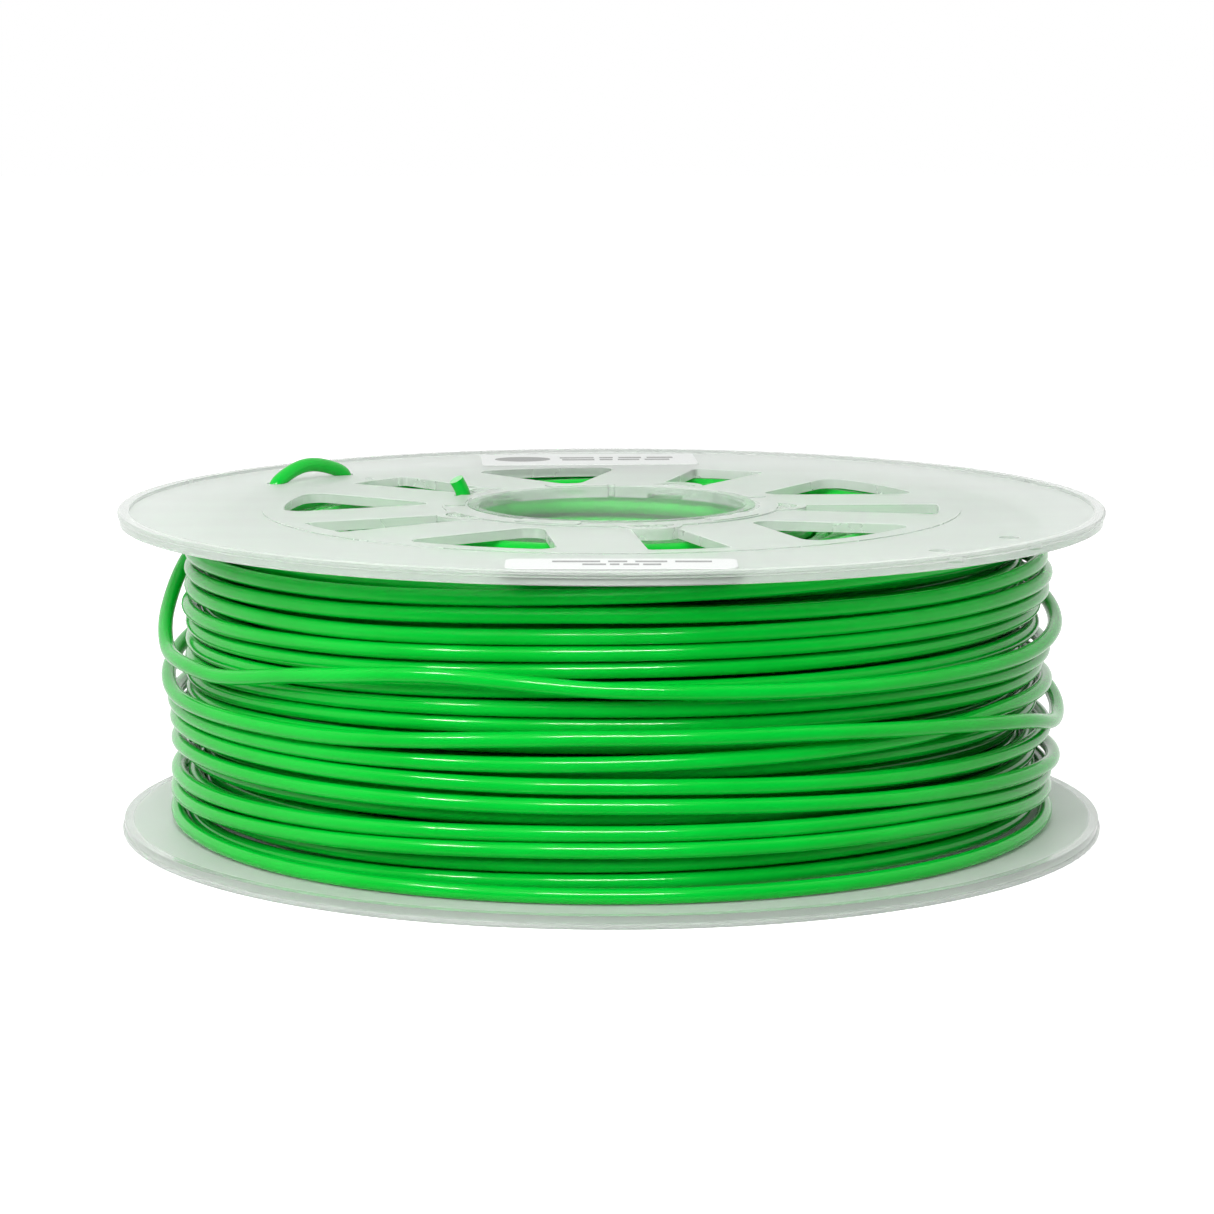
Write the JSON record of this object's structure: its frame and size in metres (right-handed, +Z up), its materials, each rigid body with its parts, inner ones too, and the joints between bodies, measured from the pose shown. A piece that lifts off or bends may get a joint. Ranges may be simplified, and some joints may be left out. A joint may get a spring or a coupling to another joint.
{
  "type": "filament spool",
  "caption": "Round spool with clear windowed flanges snapped on a tubular barrel, wound full of round plastic filament whose outer end is tied off in a small loop.",
  "frame": {"origin": "centre of the bottom flange's outer face, on the spool's axis, level with the surface it stands on", "axes": "+Z up along the spool's axis; -Y towards the small front label; +X to the right when the front label faces the viewer"},
  "size_m": [0.2, 0.2, 0.0693],
  "materials": {
    "clear_plastic": "frosted translucent web with glossy rims",
    "filament": "smooth glossy extruded plastic",
    "label_paper": "matt coated paper"
  },
  "bodies": {
    "root": {"bottom_flange": "clear_plastic", "top_flange": "clear_plastic", "barrel": "clear_plastic", "filament_inner_layers": "filament", "filament_middle_layers": "filament", "filament_outer_layers": "filament", "filament_loose_turns": "filament", "filament_tie_loop": "filament", "filament_inner_end": "filament", "rear_label": "label_paper", "front_label": "label_paper"}
  },
  "joints": []
}
